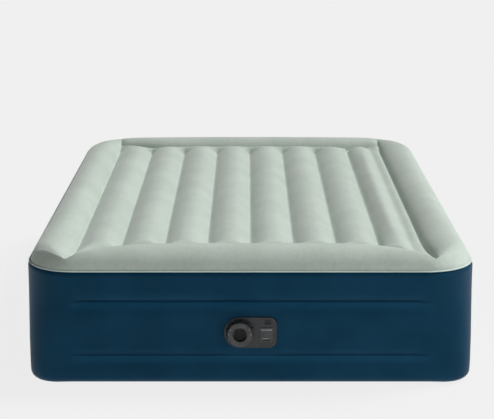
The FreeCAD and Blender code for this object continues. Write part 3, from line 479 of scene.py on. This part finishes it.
def weld_runs():
    """The welds over the beams inside, as straight runs over the film before it is drawn to the pinches."""
    runs = [((x, -CHANNEL_END), (x, CHANNEL_END)) for x in GROOVES[1:-1]]
    for side in (-1, 1):
        runs.append(((FIELD_X * side, -FIELD_Y), (FIELD_X * side, FIELD_Y)))
        runs.append(((-FIELD_X, FIELD_Y * side), (FIELD_X, FIELD_Y * side)))
    return runs


def weld_lines(runs):
    """The same welds where they lie on the bed, as short straight pieces."""
    pieces = []
    for (ax, ay), (bx, by) in runs:
        count = 1 if abs(ax) < FIELD_X and abs(ay) < FIELD_Y else 30
        points = []
        for index in range(count + 1):
            share = index / count
            points.append(to_bed(*draw_to_pinch(ax + (bx - ax) * share, ay + (by - ay) * share))[:2])
        pieces += list(zip(points, points[1:]))
    return pieces


def to_line(x, y, line):
    """Distance from a place in plan to a straight piece of weld."""
    (ax, ay), (bx, by) = line
    dx, dy = bx - ax, by - ay
    share = max(0.0, min(1.0, ((x - ax) * dx + (y - ay) * dy) / (dx * dx + dy * dy)))
    return math.hypot(x - ax - dx * share, y - ay - dy * share)


def pillow(gap, reach, rise, sharp=0.55, crown=2.0):
    """The rise of an inflated panel at a distance from its weld."""
    part = min(1.0, max(0.0, gap) / reach)
    return rise * (1 - (1 - part) ** crown) ** sharp


def channel_rise(u, gap, end_gap):
    """A channel's arch; the right-hand one is narrower, with a shallow fold between it and the side roll."""
    reach = (PITCH / 2 - WELD_HALF) * 0.85
    arch = pillow(gap, reach, CHANNEL_RISE, 1.0, 1.6)
    soft = ramp(abs(u), BOLSTER_BEND, BOLSTER_BEND + 0.12)
    gentle = pillow(end_gap + 0.02 * (1 - soft), reach, CHANNEL_RISE, 1.0, 1.6)
    end = min(gentle, pillow(end_gap, 0.026, CHANNEL_RISE + 0.002, 0.6))
    inner = u - GROOVES[-2]
    if inner > 0:
        half = (PITCH - STRIP) / 2
        hump = pillow(half - abs(inner - half), half * 0.85, CHANNEL_RISE - 0.003, 1.0, 1.6)
        fold = 0.002 + STRIP_RISE * max(0.0, inner - 2 * half) / STRIP
        weld_in = pillow(gap, 0.006, STRIP_RISE + 0.002, 0.6)
        arch = min(arch + 0.001, hump) if inner < half else max(hump, min(fold, weld_in))
    return min(arch, end)


def runs_across(line):
    """Whether a weld runs across the bed more than along it."""
    (ax, ay), (bx, by) = line
    return abs(bx - ax) > 0.6 * abs(by - ay)


def gap_to(x, y, lines):
    """Clear distance from a place in plan to the nearest of some welds."""
    return min(to_line(x, y, line) for line in lines) - WELD_HALF * 0.5


def crease_height(x, v):
    """The short fold that runs on from each pinch, between the side roll and the end bolster."""
    pinch = PINCHES[end_of(v)]
    beyond = max(0.0, min(1.0, (abs(v) - FIELD_Y) / (SPAN_Y - FIELD_Y)))
    fold_x = FIELD_X + pinch["out"]
    gap = max(0.0, abs(abs(x) - fold_x) - CREASE_HALF)
    reach = CREASE_REACH["roll" if abs(x) > fold_x else "bolster"]
    start = WELD_Z + pinch["lift"]
    low = start + (TOP_Z - start) * ramp(beyond, -0.05, CREASE_ENDS)
    return low + pillow(gap, reach, TOP_Z + BOLSTER_LIFT[end_of(v)] - low, 0.55)


def top_height(u, v, x, y, inset, lines):
    """The inflated height at a point: arcs between the welds, and a quarter round over the seam."""
    near_pinch = ramp(abs(u), FIELD_X - 0.10, FIELD_X) * ramp(abs(v), FIELD_Y - 0.10, FIELD_Y)
    weld = WELD_Z + PINCHES[end_of(v)]["lift"] * near_pinch
    if abs(u) < FIELD_X and abs(v) < FIELD_Y:
        return weld + channel_rise(u, gap_to(x, y, lines["along"]), gap_to(x, y, lines["across"]))
    on_end = ramp(abs(v), FIELD_Y - 0.02, FIELD_Y + 0.02)
    lift = BOLSTER_LIFT[end_of(v)] * on_end
    on_bolster = on_end * (1 - ramp(abs(u), FIELD_X - 0.05, FIELD_X + 0.02))
    reach = ROLL_REACH + (BOLSTER_REACH - ROLL_REACH) * on_bolster
    gap = min(gap_to(x, y, lines["along"]), gap_to(x, y, lines["across"]))
    height = weld + pillow(gap, reach, TOP_Z + lift - weld, 0.5)
    if abs(v) > FIELD_Y:
        height = min(height, crease_height(x, v))
    at_corner = ramp(abs(u), SPAN_X - CORNER_FROM, SPAN_X - CORNER_TO)
    at_corner *= ramp(abs(v), SPAN_Y - CORNER_FROM, SPAN_Y - CORNER_TO)
    shoulder = QUARTER * (1 + CORNER_SLOPE * at_corner)
    if inset < shoulder:
        height = min(height, SEAM_Z + (ROLL_R + lift) * math.sin(math.pi / 2 * inset / shoulder))
    return height


def flocked_top():
    """The top as one sheet: a grid laid over the bed, drawn round its corners, raised, then blown up."""
    bm = bmesh.new()
    bmesh.ops.create_grid(bm, x_segments=2 * X_CELLS, y_segments=2 * Y_CELLS, size=1)
    held = bm.verts.layers.float.new("held")
    runs = weld_runs()
    lines = {"along": [], "across": []}
    for line in weld_lines(runs):
        lines["across" if runs_across(line) else "along"].append(line)
    for vert in bm.verts:
        u = across(round(vert.co.x * X_CELLS))
        v = along(round(vert.co.y * Y_CELLS))
        x, y, inset = to_bed(*draw_to_pinch(u, v))
        vert.co = (x, y, top_height(u, v, x, y, inset, lines))
        near = min(to_line(u, v, run) for run in runs)
        vert[held] = 1.0 if near < WELD_HALF * 1.2 or inset < 1e-4 else 0.0
    bmesh.ops.recalc_face_normals(bm, faces=bm.faces)
    return new_piece("flocked_top", bm, FLOCK)


def blow_up(piece, group, pressure, most):
    """Simulate the film under air pressure, held along its welds, and keep the shape it takes."""
    start = [vert.co.copy() for vert in piece.data.vertices]
    cloth = piece.modifiers.new("air", "CLOTH")
    film = cloth.settings
    film.quality = 5
    film.mass = 0.3
    film.tension_stiffness = 25
    film.compression_stiffness = 25
    film.shear_stiffness = 12
    film.bending_stiffness = 1.5
    film.use_pressure = True
    film.uniform_pressure_force = pressure
    film.vertex_group_mass = group
    film.effector_weights.gravity = 0
    cloth.collision_settings.use_collision = False
    scene = bpy.context.scene
    for step in range(1, AIR_FRAMES + 1):
        scene.frame_set(step)
    blown = piece.evaluated_get(bpy.context.evaluated_depsgraph_get()).data
    for vert, was, now in zip(piece.data.vertices, start, blown.vertices):
        move = now.co - was
        if move.length > most:
            move *= most / move.length
        vert.co = was + move
    piece.modifiers.remove(cloth)
    scene.frame_set(1)


def hold(piece, name, layer):
    """A vertex group from a layer of weights."""
    group = piece.vertex_groups.new(name=name)
    for index, value in enumerate(piece.data.attributes[layer].data):
        if value.value > 0:
            group.add([index], value.value, "REPLACE")


def refine(piece):
    """Divide every face once, smoothly."""
    smooth = piece.modifiers.new("smooth", "SUBSURF")
    smooth.levels = 1
    smooth.render_levels = 1


def bake_down(piece):
    """Apply the piece's modifiers to its mesh."""
    graph = bpy.context.evaluated_depsgraph_get()
    mesh = bpy.data.meshes.new_from_object(piece.evaluated_get(graph), depsgraph=graph)
    piece.modifiers.clear()
    piece.data = mesh


def close_below(piece):
    """Fill the ring at the seam with a flat sheet, so that the piece is closed."""
    bm = bmesh.new()
    bm.from_mesh(piece.data)
    rim = [edge for edge in bm.edges if edge.is_boundary]
    made = bmesh.ops.contextual_create(bm, geom=rim)["faces"]
    bmesh.ops.triangulate(bm, faces=made)
    bmesh.ops.recalc_face_normals(bm, faces=bm.faces)
    bm.to_mesh(piece.data)
    bm.free()


top = flocked_top()
hold(top, "welds", "held")
blow_up(top, "welds", AIR_PRESSURE, MOST_SWELL)
refine(top)
bake_down(top)
close_below(top)
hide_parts("top_sheet")


# ---------------------------------------------------------------- the navy wall

def stations(step):
    """Points round the bed's outline: (place, outward direction, side, distance along that side's middle)."""
    half_x, half_y = HALF_W - CORNER, HALF_L - CORNER
    turns = max(6, round(CORNER * math.pi / 2 / step))
    runs = {"x": 2 * round(half_x / step), "y": 2 * round(half_y / step)}
    found = []
    corners = (
        ((half_x, -half_y), -90), ((half_x, half_y), 0), ((-half_x, half_y), 90), ((-half_x, -half_y), 180))
    for index, (centre, start) in enumerate(corners):
        for turn in range(turns):
            angle = math.radians(start + 90 * turn / turns)
            way = Vector((math.cos(angle), math.sin(angle), 0))
            found.append((Vector((*centre, 0)) + way * CORNER, way, "corner", math.radians(90 * turn / turns)))
        following = corners[(index + 1) % 4][0]
        angle = math.radians(start + 90)
        way = Vector((round(math.cos(angle)), round(math.sin(angle)), 0))
        first = Vector((*centre, 0)) + way * CORNER
        last = Vector((*following, 0)) + way * CORNER
        count = runs["y" if index % 2 == 0 else "x"]
        for run in range(count):
            point = first.lerp(last, run / count)
            along_side = point.y if index % 2 == 0 else point.x
            found.append((point, way, ("right", "head", "left", "foot")[index], along_side))
    return found


def wrap(name, around_bed, rows, finish, closed=False):
    """A band round the bed: one loop of points per row, each row giving (inset, height) at a station."""
    bm = bmesh.new()
    mark = bm.verts.layers.int.new("station")
    loop = bmesh.ops.create_circle(bm, segments=len(around_bed), radius=1)["verts"]
    for index, vert in enumerate(loop):
        vert[mark] = index
    edges = bm.edges[:]
    first_edges = edges

    def lay(verts, row):
        for vert in verts:
            point, way, side, place = around_bed[vert[mark]]
            inset, height = row(side, place) if callable(row) else row
            vert.co = point - way * inset
            vert.co.z = height

    lay(loop, rows[0])
    for row in rows[1:]:
        made = bmesh.ops.extrude_edge_only(bm, edges=edges)["geom"]
        verts = {item for item in made if isinstance(item, bmesh.types.BMVert)}
        edges = [item for item in made if isinstance(item, bmesh.types.BMEdge)
                 and item.verts[0] in verts and item.verts[1] in verts]
        lay(verts, row)
    if closed:
        bmesh.ops.bridge_loops(bm, edges=edges + first_edges)
    bmesh.ops.recalc_face_normals(bm, faces=bm.faces)
    return new_piece(name, bm, finish)


SWELL_OVER = 0.022
SWELL_UNDER = 0.062
CORNER_TIGHTENS = 0.075
PANEL_STANDS_IN = 0.002
NO_WELD = 1.0


def panel_bulge(from_bottom, from_top):
    """A panel of the wall swells out sharply over the weld below it and gently under the weld above it."""
    bottom = min(1.0, max(0.0, from_bottom) / SWELL_OVER) ** 0.5
    top = math.sin(math.pi / 2 * min(1.0, max(0.0, from_top) / SWELL_UNDER)) ** 0.8
    return bottom * top


def tighter_corner(turn, height):
    """How far the wall stands out at a corner, whose radius gets smaller towards the floor."""
    radius = CORNER - CORNER_TIGHTENS * ramp(SEAM_Z - height, 0.02, 0.34)
    shift = CORNER - radius
    if shift < 1e-6:
        return 0.0
    turn = min(turn, math.pi / 2 - turn)
    if CORNER * math.tan(turn) <= shift:
        return CORNER / math.cos(turn) - CORNER
    across_ray = shift * (math.cos(turn) + math.sin(turn))
    return across_ray + math.sqrt(radius ** 2 - 2 * shift ** 2 + across_ray ** 2) - CORNER


def wall_inset(side, place, height):
    """How far the blown-up wall stands in from the bed's widest line."""
    upper, lower = TIE_Z
    ends = {"foot": TIE_X, "head": TIE_X, "left": TIE_Y, "right": TIE_Y}.get(side, 0.0)
    held = 1 - ramp(abs(place), ends - 0.035, ends + 0.040) if ends else 0.0
    plain = -0.003 + 0.007 * ramp(SEAM_Z - height, 0.0, 0.38)
    if height > upper:
        out = panel_bulge(height - upper, NO_WELD)
    elif height > lower:
        out = panel_bulge(height - lower, upper - height)
    else:
        out = panel_bulge(NO_WELD, lower - height)
    tied = TIE_INSET - 0.0005 + (plain + PANEL_STANDS_IN - TIE_INSET) * out
    tuck = 0.009 * (1 - min(1.0, max(0.0, SEAM_Z + 0.0005 - height) / 0.016)) ** 2
    grow = tighter_corner(place, height) if side == "corner" else 0.0
    return tied * held + plain * (1 - held) + tuck - grow


PLATE_MID = ((plate_low[0] + plate_high[0]) / 2, (plate_low[2] + plate_high[2]) / 2)
PLATE_HALF = ((plate_high[0] - plate_low[0]) / 2, (plate_high[2] - plate_low[2]) / 2)
PLATE_INSET = HALF_L + plate_high[1]
PLATE_CORNER = 0.035
HOLE_R = 0.047
HOLE_RIGHT = plate_high[0] - 0.008


def off_plate(x, z):
    """Distance from the face plate's outline, zero inside it."""
    dx = max(0.0, abs(x - PLATE_MID[0]) - PLATE_HALF[0] + PLATE_CORNER)
    dz = max(0.0, abs(z - PLATE_MID[1]) - PLATE_HALF[1] + PLATE_CORNER)
    return max(0.0, math.hypot(dx, dz) - PLATE_CORNER)


FOOT_R = 0.030
FOOT_INSET = 0.004
FLOOR_GAP = 0.0015
SPACING = 0.015


def wall_row(height):
    """A row of the wall at a height, drawn in flat round the pump's plate."""
    def row(side, place):
        inset = wall_inset(side, place, height)
        if side == "foot":
            near = 1 - ramp(off_plate(place, height), 0.004, 0.045)
            inset += (PLATE_INSET - inset) * near
        return inset, height
    return row


def foot_row(inset, height):
    """A row of the wall's turn under the bed."""
    def row(side, place):
        grow = tighter_corner(place, 0.0) if side == "corner" else 0.0
        return FOOT_INSET + inset - grow, height
    return row


# The wall's rows, close together at the seam and at its two welds.
WALL_HEIGHTS = [
    0.4005, 0.398, 0.395, 0.391, 0.386, 0.378, 0.368, 0.356, 0.344, 0.333, 0.323, 0.315, 0.309, 0.304, 0.300,
    0.2975, 0.2962, 0.2950, 0.2935, 0.2915, 0.288, 0.283, 0.277, 0.269, 0.260, 0.250, 0.239, 0.228, 0.216,
    0.204, 0.192, 0.180, 0.168, 0.156, 0.145, 0.135, 0.127, 0.120, 0.114, 0.110, 0.1075, 0.1062, 0.1050,
    0.1035, 0.1015, 0.098, 0.093, 0.087, 0.079, 0.070, 0.060, 0.050, 0.042,
]


def open_for_pump(wall):
    """Cut the film away behind the face plate, where the pump's case passes through it."""
    bm = bmesh.new()
    bm.from_mesh(wall.data)
    round_x = plate_low[0] + PLATE_HALF[1]
    sides = [((HOLE_RIGHT, 0, PLATE_MID[1]), 0)]
    for turn in (90, 135, 180, 225, 270):
        angle = math.radians(turn)
        place = (round_x + HOLE_R * math.cos(angle), 0, PLATE_MID[1] + HOLE_R * math.sin(angle))
        sides.append((place, turn))
    ways = [Vector((math.cos(math.radians(turn)), 0, math.sin(math.radians(turn)))) for point, turn in sides]

    def close_by():
        middles = [(face, face.calc_center_median()) for face in bm.faces]
        return [face for face, middle in middles if middle.y < 0 and off_plate(middle.x, middle.z) < 0.03]

    for (point, turn), way in zip(sides, ways):
        faces = close_by()
        edges = dict.fromkeys(edge for face in faces for edge in face.edges)
        verts = dict.fromkeys(vert for face in faces for vert in face.verts)
        bmesh.ops.bisect_plane(
            bm, geom=faces + list(edges) + list(verts), plane_co=point, plane_no=way, dist=1e-5)
    places = [Vector(point) for point, turn in sides]
    gone = []
    for face in close_by():
        middle = face.calc_center_median()
        if all((middle - place).dot(way) < 0 for place, way in zip(places, ways)):
            gone.append(face)
    bmesh.ops.delete(bm, geom=gone, context="FACES")
    bm.to_mesh(wall.data)
    bm.free()


def navy_wall():
    """The wall as one film: its rows, the turn under the bed, and the hole for the pump."""
    rows = [wall_row(height) for height in WALL_HEIGHTS]
    for turn in (15, 30, 45, 60, 75, 90):
        angle = math.radians(turn)
        inset, height = FOOT_R * (1 - math.cos(angle)), FOOT_R * (1 - math.sin(angle))
        rows.append(foot_row(inset, FLOOR_GAP + height))
    rows.append(foot_row(FOOT_R + 0.040, FLOOR_GAP))
    wall = wrap("navy_wall", stations(SPACING), rows, NAVY)
    open_for_pump(wall)
    shell = wall.modifiers.new("film", "SOLIDIFY")
    shell.thickness = 0.001
    shell.offset = -1
    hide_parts("side_wall")


navy_wall()


def seam_bead():
    """The welded edge where the flocked top meets the wall: a thin lip that stands out all round."""
    section = (
        (0.004, 0.0022), (-0.002, 0.0026), (-0.0060, 0.0016),
        (-0.0068, 0.0002), (-0.0058, -0.0010), (0.004, -0.0012))
    rows = [(SEAM_U + inset, SEAM_Z + height) for inset, height in section]
    bead = wrap("seam_bead", stations(SPACING), rows, BEAD, closed=True)


seam_bead()


def bottom_film():
    """The underside: a flat sheet with shallow dents where the beams inside pull on it."""
    bm = bmesh.new()
    cells_x, cells_y = 80, 54
    bmesh.ops.create_grid(bm, x_segments=cells_x, y_segments=cells_y, size=1)
    edge = FOOT_INSET + FOOT_R + 0.006
    for vert in bm.verts:
        x, y, inset = to_bed(vert.co.x * SPAN_X, vert.co.y * SPAN_Y)
        x, y = x * (HALF_W - edge) / (HALF_W - SEAM_U), y * (HALF_L - edge) / (HALF_L - SEAM_U)
        near = min([abs(x - groove) for groove in GROOVES] + [abs(abs(y) - FIELD_Y)])
        calm = 1 - ramp(max(abs(x) - FIELD_X, abs(y) - FIELD_Y), 0.0, 0.03)
        vert.co = (x, y, 0.0006 + 0.0035 * calm * max(0.0, 1 - near / 0.022) ** 1.5)
    bmesh.ops.recalc_face_normals(bm, faces=bm.faces)
    sheet = new_piece("bottom_film", bm, UNDER)
    shell = sheet.modifiers.new("film", "SOLIDIFY")
    shell.thickness = 0.0008
    shell.offset = 1
    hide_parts("bottom_sheet")


bottom_film()


# ---------------------------------------------------------------- small mouldings on the pump, pale grey for painted highlights

def bar(bm, centre, half, turn=0.0):
    """A small block lying on the pump's face, turned about the face's own axis."""
    made = bmesh.ops.create_cube(bm, size=2)["verts"]
    bmesh.ops.scale(bm, verts=made, vec=half)
    bmesh.ops.rotate(bm, verts=made, cent=(0, 0, 0), matrix=Matrix.Rotation(turn, 3, "Y"))
    bmesh.ops.translate(bm, verts=made, vec=centre)


def rounded(bm, amount):
    """Round every edge."""
    bmesh.ops.bevel(bm, geom=bm.edges[:], offset=amount, segments=3, profile=0.5, affect="EDGES", material=-1)


def dial_glint_pips():
    """Four small raised pips on the dial's front, in pale grey: painted highlights where the dial's rim
    glints.
    """
    low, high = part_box("dial")
    centre = ((low[0] + high[0]) / 2, low[1], (low[2] + high[2]) / 2)
    bm = bmesh.new()
    ring = 0.0365
    for turn in (5, 33, 150, 175):
        angle = math.radians(turn)
        place = (centre[0] + ring * math.cos(angle), centre[1] - 0.0004, centre[2] + ring * math.sin(angle))
        bar(bm, place, (0.0030, 0.0010, 0.0016), math.pi / 2 - angle)
    rounded(bm, 0.0006)
    # The pips are pale grey to paint glints on the dial's rim.
    new_piece("dial_glint_pips", bm, PAINTED_HIGHLIGHT, "dial")


def door_highlight_ribs():
    """Two raised ribs across the door, one under its top edge and a shorter one above its finger lip, in pale
    grey that paints the highlights along the door's lit edges.
    """
    low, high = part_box("cord_door")
    middle = (low[0] + high[0]) / 2
    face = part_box("face_plate")[0][1]
    bm = bmesh.new()
    bar(bm, (middle, face - 0.0003, high[2] - 0.0080), (0.0185, 0.0011, 0.0021))
    bar(bm, (middle - 0.004, face - 0.0003, low[2] + 0.0145), (0.0120, 0.0011, 0.0016))
    rounded(bm, 0.0007)
    # The ribs are pale grey to paint the highlights along the door's lit edges.
    new_piece("door_highlight_ribs", bm, PAINTED_HIGHLIGHT, "door")


dial_glint_pips()
door_highlight_ribs()
